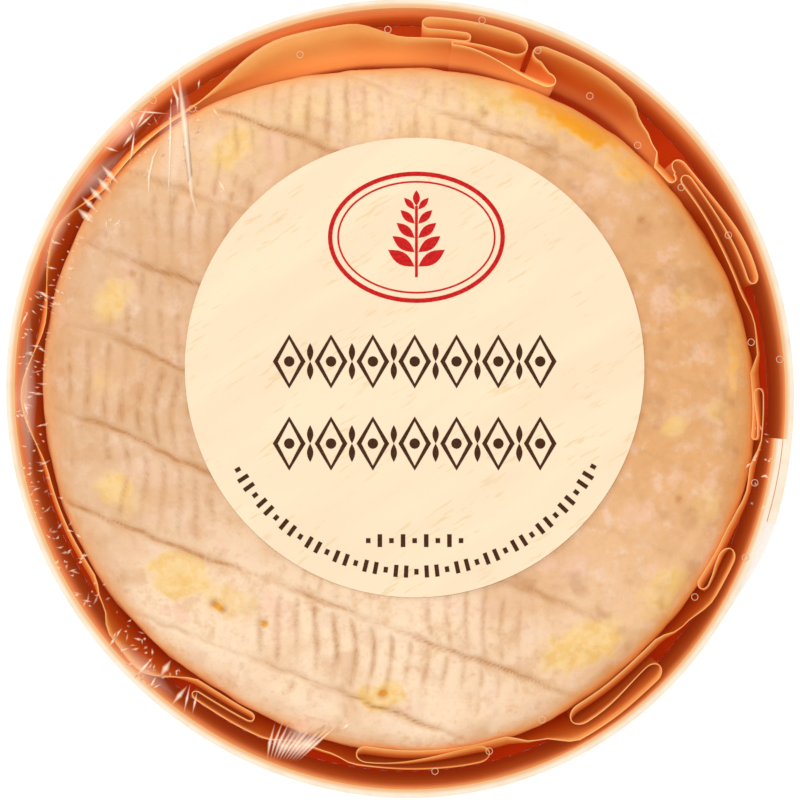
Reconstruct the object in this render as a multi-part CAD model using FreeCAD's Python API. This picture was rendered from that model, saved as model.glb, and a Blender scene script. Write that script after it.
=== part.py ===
import FreeCAD, Part
import math
import os

Vector = FreeCAD.Vector

# A soft, round, rind-ripened cheese sold in a peeled poplar box: a thin wood hoop wound
# once and lapped, a thin wood base, a pleated paper case round the cheese, and a clear
# film pulled over the open box, with a round label on it.
# Millimetres and degrees. +Z is up, +X and +Y lie in the plane of the base, and the
# origin is under the middle of the pack. Angles run anticlockwise from +X, seen from above.

# Hoop: one strip of veneer, wound clockwise from its inner end
hoop_radius = 53.6          # inner face at the strip's inner end
strip_thickness = 1.2
lap_gap = 0.1               # glue line between the strip's two layers
lap_start = -6.0            # angle of the strip's inner end
lap_length = 12.5           # how far the outer end runs over the inner one
box_height = 28.0
hoop_waves = [(2, 0.6, -78.0), (3, 0.45, 48.0)]     # count round the hoop, size, angle

# Base: a disc of the same veneer pressed into the hoop
base_thickness = 1.3
base_clearance = 0.12

# Film
film_thickness = 0.12
film_clearance = 0.1        # between the hoop's outer face and the film's skirt
film_drape = 16.0           # angle over which the film comes down off the lap's step

# Cheese
side_room = 3.8             # between the cheese and the hoop, for the paper case
head_room = 0.6             # between the cheese and the film
cheese_offset = (-0.4, -0.7)
cheese_waves = [(2, 1.25, -20.0), (3, 0.7, 30.0), (5, 0.4, -8.0)]
top_round = 6.0             # radius of the shoulder under the top edge
bottom_round = 3.5
side_bulge = 0.5            # how far the side swells at half height
round_steps = 5             # steps in which the edges round over

# Marks of the draining mat in the cheese's top
mat_angle = -21.0
mat_pitch = 11.8
mat_shift = 4.9             # distance of the mark nearest the middle from the middle
mat_depth = 0.4
mat_width = 1.7

# Paper case
paper_thickness = 0.12
paper_clearance = 0.28      # to the cheese inside it and to the hoop outside it
paper_below_rim = 1.2

# The way round the case, going clockwise. How far out the paper stands goes from 0 at the
# cheese to 1 at the hoop. "stand" gives an angle and how far out the paper stands there.
# "fold" doubles back on itself, to lie in three layers: angle of its first turn, angle of
# its second, and how far out its first and last layers stand.
way_round = [
    ("stand", 154.0, 0.95),
    ("stand", 144.0, 0.08),
    ("stand", 128.0, 0.15),
    ("stand", 108.0, 0.85),
    ("stand", 97.0, 0.80),
    ("fold", 63.5, 81.0, 0.05, 0.55),
    ("fold", 71.5, 86.5, 0.60, 0.92),
    ("stand", 56.0, 0.88),
    ("fold", 39.5, 43.0, 0.08, 0.75),
    ("fold", 18.0, 36.5, 0.88, 0.08),
    ("fold", -6.5, 1.5, 0.02, 0.75),
    ("fold", -33.0, -24.5, 0.05, 0.80),
    ("fold", -62.0, -46.0, 0.05, 0.92),
    ("fold", -98.0, -76.0, 0.05, 0.60),
    ("stand", -106.0, 0.30),
    ("fold", -125.0, -114.5, 0.62, 0.12),
    ("stand", -134.5, 0.95),
    ("stand", -143.0, 0.20),
    ("stand", -168.0, 0.30),
    ("stand", -180.0, 0.85),
    ("stand", -192.0, 0.25),
]
fold_slant = 0.1            # how much the middle layer leans out along its length
fold_nose = 1.3             # length of a turn's nose, as a share of half its width
fold_room = 2.5             # angle by which the first layer is in place before a fold

# Label
label_radius = 32.2
label_thickness = 0.12
label_centre = (2.0, 4.4)

# Fineness of the outlines
ring_points = 48            # points round the hoop
cheese_points = 32          # points round the cheese
paper_step = 3.0            # angle between points on the paper's plain stretches
turn_points = 6             # points round each turn of a fold


def arc_chain(points):
    """Edges from the first point to the last, each an arc through the next two points."""
    return [Part.Arc(*points[place:place + 3]).toShape() for place in range(0, len(points) - 2, 2)]


def prism(edges, height):
    section = Part.Face(Part.Wire(Part.__sortEdges__(edges)))
    return section.extrude(Vector(0, 0, height))


def polar(radius, angle, height):
    turn = math.radians(angle)
    return Vector(radius * math.cos(turn), radius * math.sin(turn), height)


def waves(table, angle):
    """Out-of-roundness as a few waves round the outline."""
    return sum(size * math.cos(count * math.radians(angle - peak)) for count, size, peak in table)


def ease(share):
    """Smooth rise from 0 to 1."""
    share = min(max(share, 0.0), 1.0)
    return share * share * (3.0 - 2.0 * share)


# ---- Hoop ----

def strip_inner(wound):
    """Radius of the strip's inner face after it has been wound through this angle."""
    climb = (strip_thickness + lap_gap) * wound / 360.0
    return hoop_radius + waves(hoop_waves, lap_start - wound) + climb


def wound_at(angle):
    return (lap_start - angle) % 360.0


def make_box_wall():
    steps = ring_points + 2
    full = 360.0 + lap_length
    inner = []
    outer = []
    for step in range(steps + 1):
        wound = full * step / steps
        radius = strip_inner(wound)
        inner.append(polar(radius, lap_start - wound, film_thickness))
        outer.append(polar(radius + strip_thickness, lap_start - wound, film_thickness))
    ends = [Part.LineSegment(inner[0], outer[0]).toShape(),
            Part.LineSegment(inner[-1], outer[-1]).toShape()]
    return prism(arc_chain(inner) + arc_chain(outer) + ends, box_height)


# ---- Base ----

def make_box_base():
    rim = []
    for step in range(ring_points + 1):
        wound = 360.0 * step / ring_points
        rim.append(polar(strip_inner(wound) - base_clearance, lap_start - wound, film_thickness))
    step_edge = Part.LineSegment(rim[-1], rim[0]).toShape()
    return prism(arc_chain(rim) + [step_edge], base_thickness)


# ---- Film ----

def film_inner(angle):
    """Radius of the film's inner face: tight round the hoop, easing down off the lap."""
    wound = wound_at(angle)
    over_lap = 1.0 - ease((wound - lap_length) / film_drape)
    step = (strip_thickness + lap_gap) * over_lap
    return strip_inner(wound) + strip_thickness + step + film_clearance


def film_prism(extra, bottom, height):
    rim = []
    for step in range(ring_points + 1):
        angle = 360.0 * step / ring_points
        rim.append(polar(film_inner(angle) + extra, angle, bottom))
    return prism(arc_chain(rim), height)


def make_film():
    outside = film_prism(film_thickness, 0.0, box_height + 2.0 * film_thickness)
    inside = film_prism(0.0, film_thickness, box_height)
    return outside.cut(inside)


# ---- Cheese ----

cheese_radius = hoop_radius - side_room
cheese_bottom = film_thickness + base_thickness + paper_thickness
cheese_top = film_thickness + box_height - head_room
cheese_height = cheese_top - cheese_bottom


def cheese_side(angle):
    """Radius of the cheese's widest outline about its own middle."""
    return cheese_radius + waves(cheese_waves, angle)


def cheese_profile():
    """Inset from the widest outline and height, from the bottom face up to the top one."""
    profile = []
    for step in range(round_steps + 1):
        lean = math.radians(90.0 * step / round_steps)
        inset = bottom_round * (1.0 - math.sin(lean)) + side_bulge
        profile.append((inset, bottom_round * (1.0 - math.cos(lean))))
    profile.append((0.0, cheese_height / 2.0))
    for step in range(round_steps + 1):
        lean = math.radians(90.0 * step / round_steps)
        inset = top_round * (1.0 - math.cos(lean)) + side_bulge
        profile.append((inset, cheese_height - top_round * (1.0 - math.sin(lean))))
    return profile


def cheese_ring(inset, height):
    middle = Vector(cheese_offset[0], cheese_offset[1], cheese_bottom + height)
    ring = []
    for step in range(cheese_points + 1):
        angle = 360.0 * step / cheese_points
        ring.append(middle + polar(cheese_side(angle) - inset, angle, 0.0))
    return Part.Wire(arc_chain(ring))


def mat_marks():
    """Round-bottomed cutters lying across the top at the pitch of the mat's threads."""
    radius = (mat_width ** 2 / 4.0 + mat_depth ** 2) / (2.0 * mat_depth)
    along = polar(1.0, mat_angle, 0.0)
    across = polar(1.0, mat_angle + 90.0, 0.0)
    reach = 1.2 * cheese_radius
    flat = cheese_radius - top_round - mat_width / 2.0
    first = math.ceil((-flat - mat_shift) / mat_pitch)
    last = math.floor((flat - mat_shift) / mat_pitch)
    cutters = []
    for place in range(first, last + 1):
        start = across * (mat_shift + place * mat_pitch) - along * reach
        start.z = cheese_top - mat_depth + radius
        cutters.append(Part.makeCylinder(radius, 2.0 * reach, start, along))
    return cutters


def make_cheese():
    rings = [cheese_ring(inset, height) for inset, height in cheese_profile()]
    body = Part.makeLoft(rings, True, True)
    for cutter in mat_marks():
        body = body.cut(cutter)
    return body


# ---- Paper case ----

def paper_inner_limit(angle):
    """Radius, from the pack's middle, where the paper just clears the cheese."""
    shift = polar(1.0, angle, 0.0).dot(Vector(cheese_offset[0], cheese_offset[1], 0.0))
    return cheese_side(angle) + shift + paper_clearance + paper_thickness / 2.0


def paper_outer_limit(angle):
    """Radius where the paper just clears the hoop, evened out across the strip's end."""
    wound = wound_at(angle)
    evened = wound * (1.0 - ease((wound - 315.0) / 45.0))
    climb = (strip_thickness + lap_gap) * evened / 360.0
    face = hoop_radius + waves(hoop_waves, angle) + climb
    return face - paper_clearance - paper_thickness / 2.0


def paper_gap(angle):
    return paper_outer_limit(angle) - paper_inner_limit(angle)


def layer(start, end, share_start, share_end):
    """Plain paper between two angles, easing from one share to the other."""
    count = max(round(abs(end - start) / paper_step), 1)
    places = [step / count for step in range(1, count)]
    return [(start + (end - start) * place, share_start + (share_end - share_start) * ease(place))
            for place in places]


def turn_back(angle, share_start, share_end, way):
    """The round nose of a fold: way is 1 where it opens anticlockwise, else -1."""
    nose = fold_nose * abs(share_end - share_start) / 2.0 * paper_gap(angle)
    length = way * math.degrees(nose / paper_inner_limit(angle))
    stations = []
    for step in range(turn_points + 1):
        lean = math.pi * (step / turn_points - 0.5)
        share = share_start + (share_end - share_start) * (1.0 + math.sin(lean)) / 2.0
        stations.append((angle + length * (1.0 - math.cos(lean)), share))
    return stations


def fold_stations(turn, end, before, after):
    """One fold, clockwise: its first turn, the layer back, and its second turn."""
    rise = after - before
    near = before + (0.5 - fold_slant) * rise
    far = before + (0.5 + fold_slant) * rise
    first_turn = turn_back(turn, before, near, 1.0)
    second_turn = turn_back(end, far, after, -1.0)
    return first_turn + layer(first_turn[-1][0], second_turn[0][0], near, far) + second_turn


def link(last, last_free, following, following_free):
    """Paper on to the next stretch, changing its share only between the two free angles."""
    if following_free >= last_free:
        last_free, following_free = last[0], following[0]
    count = max(round((last[0] - following[0]) / paper_step), 1)
    stations = []
    for step in range(1, count):
        angle = last[0] + (following[0] - last[0]) * step / count
        place = (last_free - angle) / (last_free - following_free)
        stations.append((angle, last[1] + (following[1] - last[1]) * ease(place)))
    return stations


def paper_stations():
    """Angle and share all the way round, clockwise."""
    stretches = []
    for kind, *sizes in way_round:
        if kind == "fold":
            turn, end, before, after = sizes
            stations = fold_stations(turn, end, before, after)
            stretches.append((stations, turn, end + fold_room))
        else:
            angle, share = sizes
            stretches.append(([(angle, share)], angle, angle))
    stations = []
    for place, (stretch, free_after, free_before) in enumerate(stretches):
        following, following_after, following_free = stretches[(place + 1) % len(stretches)]
        back = 360.0 if place + 1 == len(stretches) else 0.0
        goal = (following[0][0] - back, following[0][1])
        stations += stretch + link(stretch[-1], free_after, goal, following_free - back)
    return stations


def paper_prism(way, bottom, height):
    """What the paper's outer face (way 1) or inner face (way -1) encloses, in flat strips."""
    route = [polar(paper_inner_limit(angle) + share * paper_gap(angle), angle, bottom)
             for angle, share in paper_stations()]
    rim = []
    for place, point in enumerate(route):
        along = route[(place + 1) % len(route)] - route[place - 1]
        along.normalize()
        rim.append(point + Vector(-along.y, along.x, 0.0) * (way * paper_thickness / 2.0))
    section = Part.Face(Part.makePolygon(rim + [rim[0]]))
    return section.extrude(Vector(0, 0, height))


def make_paper_case():
    foot = film_thickness + base_thickness
    height = box_height - base_thickness - paper_below_rim
    outside = paper_prism(1.0, foot, height)
    inside = paper_prism(-1.0, foot + paper_thickness, height - paper_thickness)
    return outside.cut(inside)


# ---- Label ----

def make_label():
    lies_at = Vector(label_centre[0], label_centre[1], box_height + 2.0 * film_thickness)
    return Part.makeCylinder(label_radius, label_thickness, lies_at)


# ---- Write the pieces, moved so that the pack's middle is over the origin ----

pieces = {
    "box_wall": make_box_wall(),
    "box_base": make_box_base(),
    "paper_case": make_paper_case(),
    "cheese": make_cheese(),
    "film": make_film(),
    "label": make_label(),
}
middle = pieces["film"].BoundBox.Center
os.makedirs("parts", exist_ok=True)
for name, piece in pieces.items():
    piece.translate(Vector(-middle.x, -middle.y, 0.0))
    piece.exportStep("parts/" + name + ".step")
    box = piece.BoundBox
    print(name, "valid", piece.isValid(), "solids", len(piece.Solids),
          "volume %.1f" % piece.Volume,
          "x %.2f %.2f y %.2f %.2f z %.2f %.2f" % (
              box.XMin, box.XMax, box.YMin, box.YMax, box.ZMin, box.ZMax))
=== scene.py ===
import math
import random

import bmesh
import bpy
from mathutils import Matrix, Vector, noise


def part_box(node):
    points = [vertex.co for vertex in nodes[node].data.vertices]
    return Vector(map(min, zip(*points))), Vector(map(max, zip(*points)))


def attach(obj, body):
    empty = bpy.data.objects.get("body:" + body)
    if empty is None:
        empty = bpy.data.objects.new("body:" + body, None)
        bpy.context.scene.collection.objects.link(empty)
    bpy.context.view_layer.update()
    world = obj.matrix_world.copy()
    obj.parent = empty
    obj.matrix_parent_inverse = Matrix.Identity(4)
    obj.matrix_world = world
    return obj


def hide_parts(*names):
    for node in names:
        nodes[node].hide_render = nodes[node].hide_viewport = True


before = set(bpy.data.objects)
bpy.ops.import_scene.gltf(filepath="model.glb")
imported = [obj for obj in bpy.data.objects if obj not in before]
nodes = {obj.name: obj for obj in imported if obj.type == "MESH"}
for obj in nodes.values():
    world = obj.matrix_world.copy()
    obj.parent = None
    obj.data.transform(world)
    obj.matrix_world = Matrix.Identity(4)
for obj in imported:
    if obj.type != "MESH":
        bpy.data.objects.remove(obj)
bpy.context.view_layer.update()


# ---- Hoop ----
# One strip of peeled poplar veneer, about 1.2 mm thick, wound into a hoop and lapped at
# one side. It is pale outside and on its rim. Inside, it is painted darker and deeper orange
# the further down it goes, as painted shade of the deep gap, and it glows there as painted light.

def tone(red, green, blue):
    """A colour named as it looks, 0 to 255, turned into what a shader reads."""
    shares = []
    for value in (red, green, blue):
        share = value / 255.0
        shares.append(share / 12.92 if share <= 0.04045 else ((share + 0.055) / 1.055) ** 2.4)
    return (*shares, 1.0)


def node(tree, kind, inputs=None, **properties):
    """One shader node; inputs are plain values or the sockets that feed them."""
    made = tree.nodes.new(kind if kind.startswith("NodeGroup") else "ShaderNode" + kind)
    for name, value in properties.items():
        setattr(made, name, value)
    for name, value in (inputs or {}).items():
        if isinstance(value, bpy.types.NodeSocket):
            tree.links.new(value, made.inputs[name])
        else:
            made.inputs[name].default_value = value
    return made


def mixed(tree, share, first, second):
    return node(tree, "Mix", {0: share, 6: first, 7: second}, data_type="RGBA").outputs[2]


def maths(tree, operation, first, second=0.0, third=0.0):
    return node(tree, "Math", {0: first, 1: second, 2: third}, operation=operation).outputs[0]


def laid(tree, colour, share, strength, over):
    """A colour with another laid over it, as strongly as share times strength."""
    return mixed(tree, maths(tree, "MULTIPLY", share, strength), colour, over)


def parts(tree, vector):
    return node(tree, "SeparateXYZ", {0: vector}).outputs


def between(tree, value, low, high, low_gives=0.0, high_gives=1.0):
    """Value turned smoothly from low..high into low_gives..high_gives, and held outside."""
    made = node(tree, "MapRange", {"Value": value, 1: low, 2: high, 3: low_gives, 4: high_gives},
                interpolation_type="SMOOTHSTEP")
    return made.outputs[0]


def cloud(tree, place, scale, detail=3.0, roughness=0.55, stretch=(1.0, 1.0, 1.0)):
    """Soft noise over the piece, in patches about 1 / scale metres wide."""
    moved = node(tree, "Mapping", {"Vector": place, "Scale": stretch}).outputs[0]
    made = node(tree, "TexNoise", {"Vector": moved, "Scale": scale, "Detail": detail,
                                   "Roughness": roughness})
    return made.outputs["Fac"]


def finish(name, roughness, **sockets):
    """A material with its shader and the place on the piece; plain sockets are set directly.

    Where it glows, that is seen, but it isn't a lamp."""
    material = bpy.data.materials.new(name)
    material.cycles.emission_sampling = "NONE"
    material.use_nodes = True
    tree = material.node_tree
    tree.nodes.clear()
    shader = node(tree, "BsdfPrincipled", {"Roughness": roughness})
    for socket, value in sockets.items():
        shader.inputs[socket.replace("_", " ")].default_value = value
    node(tree, "OutputMaterial", {"Surface": shader.outputs[0]})
    place = node(tree, "TexCoord").outputs["Object"]
    return material, tree, shader, place


def feed(tree, shader, socket, source):
    tree.links.new(source, shader.inputs[socket])


def bump(tree, shader, height, depth, strength=1.0):
    made = node(tree, "Bump", {"Height": height, "Distance": depth, "Strength": strength})
    tree.links.new(made.outputs[0], shader.inputs["Normal"])


def veneer_grain():
    """The grain of peeled poplar as a group: streaks along X or round Z, and fibres."""
    group = bpy.data.node_groups.new("veneer_grain", "ShaderNodeTree")
    group.interface.new_socket("Place", in_out="INPUT", socket_type="NodeSocketVector")
    for name in ("Streaks", "Fibres", "Height"):
        group.interface.new_socket(name, in_out="OUTPUT", socket_type="NodeSocketFloat")
    start = node(group, "NodeGroupInput").outputs["Place"]
    streaks = cloud(group, start, 260.0, 4.0, 0.6)
    fibres = cloud(group, start, 1400.0, 2.0, 0.5)
    coarse = cloud(group, start, 90.0, 2.0, 0.5)
    height = maths(group, "MULTIPLY_ADD", fibres, 0.35, maths(group, "MULTIPLY", streaks, 0.65))
    streaks = maths(group, "MULTIPLY_ADD", coarse, 0.4, maths(group, "MULTIPLY", streaks, 0.6))
    node(group, "NodeGroupOutput", {"Streaks": streaks, "Fibres": fibres, "Height": height})
    return group


grain_group = veneer_grain()
dry_wood = tone(250, 226, 188)
dry_streak = tone(230, 194, 146)
fibre_line = tone(214, 170, 116)
rim_wood = tone(246, 190, 134)
rim_bleached = tone(255, 240, 218)
deep_shade_wood = tone(224, 60, 0)
# Painted shade of the inside, from the lightest down: its colour, and how far below the rim it is
# full and how far below it starts
wood_shades = [(tone(246, 182, 116), 0.009, -0.003), (tone(230, 124, 36), 0.017, 0.003),
          (deep_shade_wood, 0.028, 0.013)]
shade_slope = 0.065         # rise of the painted shade across the box, towards the front right, so the back left is painted lighter as if lit more
shade_unevenness = 0.004
lit_wood = tone(216, 132, 48)
painted_glow = 0.125        # painted light: glow of the hoop's inside, the paper and the cheese's shoulder, which lights the deep gap though they are no lamps

hoop_radius = 0.0536        # of the strip's inner face where the winding starts
hoop_waves = [(2, 0.0006, -78.0), (3, 0.00045, 48.0)]   # count, size and angle of a crest
strip_step = 0.0013         # how far the strip climbs in one turn
strip_thickness = 0.0012
lap_start = -6.0            # angle at which the winding starts, clockwise


def across_rim(tree, split):
    """0 at the strip's inner face and 1 at its outer one, wherever the hoop is cut."""
    across, away = split["X"], split["Y"]
    turn = maths(tree, "ARCTAN2", away, across)
    radius = maths(tree, "SQRT", maths(tree, "MULTIPLY_ADD", away, away,
                                       maths(tree, "MULTIPLY", across, across)))
    wound = maths(tree, "SUBTRACT", math.radians(lap_start), turn)
    wound = maths(tree, "WRAP", wound, math.tau, 0.0)
    face = maths(tree, "MULTIPLY_ADD", wound, strip_step / math.tau, hoop_radius)
    for count, size, peak in hoop_waves:
        swing = maths(tree, "COSINE", maths(tree, "MULTIPLY_ADD", turn, float(count),
                                            -count * math.radians(peak)))
        face = maths(tree, "MULTIPLY_ADD", swing, size, face)
    return between(tree, maths(tree, "SUBTRACT", radius, face), 0.0, strip_thickness)


def poplar(name, along, shade_side):
    """Poplar veneer with its grain squeezed by along; the side with painted shade and glow is
    "inner" or "top".
    """
    material, tree, shader, place = finish(name, 0.62, Specular_IOR_Level=0.0)
    squeezed = node(tree, "Mapping", {"Vector": place, "Scale": along}).outputs[0]
    grain = node(tree, "Group", {"Place": squeezed}, node_tree=grain_group)
    streak = between(tree, grain.outputs["Streaks"], 0.42, 0.66)
    colour = mixed(tree, streak, dry_wood, dry_streak)
    fibre = between(tree, grain.outputs["Fibres"], 0.35, 0.75)
    colour = laid(tree, colour, fibre, 0.25, fibre_line)
    split = parts(tree, place)
    normal = node(tree, "NewGeometry").outputs["Normal"]
    rise = parts(tree, normal)["Z"]
    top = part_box("box_wall")[1].z
    level = maths(tree, "MULTIPLY_ADD", cloud(tree, place, 55.0, 2.0), shade_unevenness,
                  split["Z"])
    # Painted light: the back left of the inside is painted lighter and the front right darker.
    lit_side = maths(tree, "SUBTRACT", split["Y"], split["X"])
    level = maths(tree, "MULTIPLY_ADD", lit_side, shade_slope, level)
    # Painted shade: the inside darkens to deep orange brown further down, and the grain's streaks
    # darken it more.
    shaded = rim_wood
    for wood, full, start in wood_shades:
        shaded = mixed(tree, between(tree, level, top - full, top - start), wood, shaded)
    shaded = laid(tree, shaded, streak, 0.25, deep_shade_wood)
    if shade_side == "inner":
        flat = node(tree, "CombineXYZ", {"X": split["X"], "Y": split["Y"]})
        facing = node(tree, "VectorMath", {0: normal, 1: flat.outputs[0]},
                      operation="DOT_PRODUCT").outputs["Value"]
        inside = between(tree, facing, -0.02, 0.0, 1.0, 0.0)
        colour = mixed(tree, inside, colour, shaded)
        outer = between(tree, across_rim(tree, split), 0.0, 0.8)
        edge_wood = mixed(tree, outer, rim_wood, rim_bleached)
        edge_wood = laid(tree, edge_wood, fibre, 0.25, dry_streak)
        colour = mixed(tree, between(tree, rise, 0.5, 0.9), colour, edge_wood)
        # Painted light: the inside glows, more near the rim, though it is no lamp.
        glow = between(tree, level, top - 0.012, top + 0.001, painted_glow, 2.6 * painted_glow)
        glow = maths(tree, "MULTIPLY", inside, glow)
    else:
        # Painted shade and a faint painted glow on the base's top, which lies deep in the gap.
        glow = between(tree, rise, 0.5, 0.9, 0.0, 0.3 * painted_glow)
        colour = mixed(tree, between(tree, rise, 0.5, 0.9), colour, shaded)
    feed(tree, shader, "Emission Color", mixed(tree, 0.5, shaded, lit_wood))
    feed(tree, shader, "Emission Strength", glow)
    feed(tree, shader, "Base Color", colour)
    bump(tree, shader, grain.outputs["Height"], 0.00012, 0.5)
    return material


def dress(piece, material):
    """Puts one material on a piece or on a carried-over CAD node."""
    if not piece.material_slots:
        piece.data.materials.append(material)
    for place in piece.material_slots:
        place.material = material


dress(nodes["box_wall"], poplar("poplar_hoop", (0.25, 0.25, 6.0), "inner"))


# ---- Base ----
# A disc of the same veneer, cut flat and pressed into the bottom of the hoop. Its grain
# runs straight across.

# Its top lies deep in the gap and gets the inside's painted shade and a faint painted glow.
dress(nodes["box_base"], poplar("poplar_base", (0.35, 5.0, 1.0), "top"))


# ---- Paper case ----
# A round cup of thin greaseproof paper. Its wall is too long for the box, so it stands in
# loose folds between the cheese and the hoop, leaning out towards the top.

cheese_radius = 0.0498
cheese_middle = (-0.00035, -0.00076)
cheese_waves = [(2, 0.00125, -20.0), (3, 0.0007, 30.0), (5, 0.0004, -8.0)]
paper_thickness = 0.00012
paper_room = 0.00034        # clearance of its middle to the cheese and to the hoop
fold_nose = 1.3             # length of a fold's round nose over half its width
fold_room = 2.5             # angle past a fold's end where the next paper may change its share
paper_step = 1.5            # angle between points of plain paper
turn_points = 10
paper_rings = 14
foot_share = 0.25           # how far out a fold still stands at its foot, as a share
flare = 2.4                 # how late it opens out on the way up; 1 is straight
brim_middle, brim_half = 110.0, 34.0    # where it lies back flat like a brim, as angles
brim_foot = 0.3             # what is left of the foot's share there
brim_flare = 6.0            # how much later it opens out there
foot_tuck = 0.0016          # how far the foot is tucked in below the cheese's round edge
edge_lean = 0.0016          # how far the top edge leans in over the cheese's round shoulder
lean_start = 0.8            # height at which that begins, as a share of the paper's
# Painted shade of the paper, as for the hoop, darker further down below its light edge
paper_shades = [(tone(220, 126, 50), 0.003, -0.003), (tone(212, 94, 14), 0.009, 0.001),
                (tone(206, 64, 0), 0.020, 0.008)]

# Going clockwise: plain paper gives its angle and how far out it stands, from 0 at the
# cheese to 1 at the hoop. A fold gives the angles of its first turn and of its second, then
# how far out it stands before the first turn, on both ends of the layer that runs back, and
# after the second turn.
way_round = [
    (154.0, 0.95), (144.0, 0.12), (128.0, 0.22), (108.0, 0.88), (98.0, 0.85),
    (78.9, 86.6, 0.58, 0.72, 0.73, 0.92),
    (70.0, 81.7, 0.90, 0.55, 0.56, 0.50),
    (63.8, 69.0, 0.22, 0.47, 0.60, 0.86),
    (57.0, 0.85), (52.3, 0.80), (48.5, 0.56), (43.8, 0.36),
    (38.3, 40.9, 0.12, 0.30, 0.34, 0.62),
    (18.0, 38.2, 0.95, 0.64, 0.54, 0.30),
    (12.0, 0.48), (7.0, 0.40),
    (-6.6, 1.6, 0.03, 0.33, 0.10, 0.55),
    (-11.0, 0.20), (-15.0, 0.30), (-20.0, 0.12),
    (-32.3, -24.4, 0.06, 0.42, 0.22, 0.83),
    (-38.9, 0.46),
    (-62.0, -45.8, 0.12, 0.65, 0.50, 0.97),
    (-68.0, 0.45),
    (-97.0, -75.8, 0.03, 0.45, 0.08, 0.55),
    (-101.0, 0.38), (-106.3, 0.34),
    (-125.2, -114.5, 0.62, 0.40, 0.38, 0.15),
    (-134.5, 1.0), (-141.0, 0.90), (-145.4, 0.50), (-150.0, 0.20), (-168.0, 0.30),
    (-180.0, 0.90), (-192.0, 0.25),
]


def waves(table, angle):
    """Out-of-roundness as a few waves round the outline."""
    return sum(size * math.cos(count * math.radians(angle - peak)) for count, size, peak in table)


def ease(share):
    """Smooth rise from 0 to 1."""
    share = min(max(share, 0.0), 1.0)
    return share * share * (3.0 - 2.0 * share)


def polar(radius, angle, height=0.0):
    turn = math.radians(angle)
    return Vector((radius * math.cos(turn), radius * math.sin(turn), height))


def reach_and_angle(place):
    """The way back from polar."""
    return math.hypot(place.x, place.y), math.degrees(math.atan2(place.y, place.x))


def uneven(across, away, layer):
    """Soft unevenness from -1 to 1 at a place of one of its layers."""
    return noise.noise(Vector((across, away, layer)))


def inner_limit(angle):
    """Where the paper's top edge touches the cheese."""
    shift = polar(1.0, angle).dot(Vector((*cheese_middle, 0.0)))
    return cheese_radius + waves(cheese_waves, angle) + shift + paper_room - edge_lean


def outer_limit(angle):
    wound = (lap_start - angle) % 360.0
    climb = strip_step * wound * (1.0 - ease((wound - 315.0) / 45.0)) / 360.0
    return hoop_radius + waves(hoop_waves, angle) + climb - paper_room


def layer(start, end, share_start, share_end):
    """Plain paper between two angles, easing from one share to the other."""
    count = max(round(abs(end - start) / paper_step), 1)
    places = [step / count for step in range(1, count)]
    return [(start + (end - start) * place, share_start + (share_end - share_start) * ease(place))
            for place in places]


def turn_back(angle, share_start, share_end, way):
    """The round nose of a fold: way is 1 where it opens anticlockwise, else -1."""
    gap = outer_limit(angle) - inner_limit(angle)
    nose = fold_nose * abs(share_end - share_start) / 2.0 * gap
    length = way * math.degrees(nose / inner_limit(angle))
    stations = []
    for step in range(turn_points + 1):
        lean = math.pi * (step / turn_points - 0.5)
        share = share_start + (share_end - share_start) * (1.0 + math.sin(lean)) / 2.0
        stations.append((angle + length * (1.0 - math.cos(lean)), share))
    return stations


def fold_stations(turn, end, before, near, far, after):
    """One fold, clockwise: its first turn, the layer back, and its second turn."""
    first_turn = turn_back(turn, before, near, 1.0)
    second_turn = turn_back(end, far, after, -1.0)
    return first_turn + layer(first_turn[-1][0], second_turn[0][0], near, far) + second_turn


def link(last, last_free, following, following_free):
    """Paper on to the next stretch, changing its share only between the two free angles."""
    if following_free >= last_free:
        last_free, following_free = last[0], following[0]
    count = max(round((last[0] - following[0]) / paper_step), 1)
    stations = []
    for step in range(1, count):
        angle = last[0] + (following[0] - last[0]) * step / count
        place = (last_free - angle) / (last_free - following_free)
        stations.append((angle, last[1] + (following[1] - last[1]) * ease(place)))
    return stations


def paper_stations():
    """Angle and share all the way round, clockwise."""
    stretches = []
    for turn, *sizes in way_round:
        if len(sizes) > 1:
            stretches.append((fold_stations(turn, *sizes), turn, sizes[0] + fold_room))
        else:
            stretches.append(([(turn, *sizes)], turn, turn))
    stations = []
    for place, (stretch, free_after, _) in enumerate(stretches):
        following, _, following_free = stretches[(place + 1) % len(stretches)]
        back = 360.0 if place + 1 == len(stretches) else 0.0
        goal = (following[0][0] - back, following[0][1])
        stations += stretch + link(stretch[-1], free_after, goal, following_free - back)
    return stations


def paper_place(angle, share, rise, low, high):
    """A point of the paper: rise goes from 0 at the foot to 1 at the top edge."""
    inner = inner_limit(angle)
    gap = outer_limit(angle) - inner
    brim = 1.0 - ease(abs(angle - brim_middle) / brim_half)
    foot = foot_share * (1.0 - (1.0 - brim_foot) * brim)
    stood = share * (foot + (1.0 - foot) * rise ** (flare + brim_flare * brim))
    leant = edge_lean * (1.0 - (max(rise - lean_start, 0.0) / (1.0 - lean_start)) ** 1.5)
    tuck = foot_tuck * (1.0 - ease(rise / 0.16))
    wobble = 0.03 * uneven(angle * 0.11, share, rise * 2.0) * rise
    out = inner + leant - tuck + min(max(stood + wobble, 0.0), 1.0) * (gap - leant)
    point = polar(out, angle)
    taller = 0.0005 * uneven(angle * 0.07, share, 7.0)
    point.z = low + (high - low + taller) * rise
    return point


scene = bpy.context.scene


def new_piece(name, mesh_edit, material, smooth=True):
    """A finished piece from an edited mesh, in place, riding on the one body."""
    bmesh.ops.recalc_face_normals(mesh_edit, faces=mesh_edit.faces)
    mesh = bpy.data.meshes.new(name)
    mesh_edit.to_mesh(mesh)
    mesh_edit.free()
    piece = bpy.data.objects.new(name, mesh)
    scene.collection.objects.link(piece)
    mesh.materials.append(material)
    mesh.shade_smooth() if smooth else mesh.shade_flat()
    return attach(piece, "root")


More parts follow.
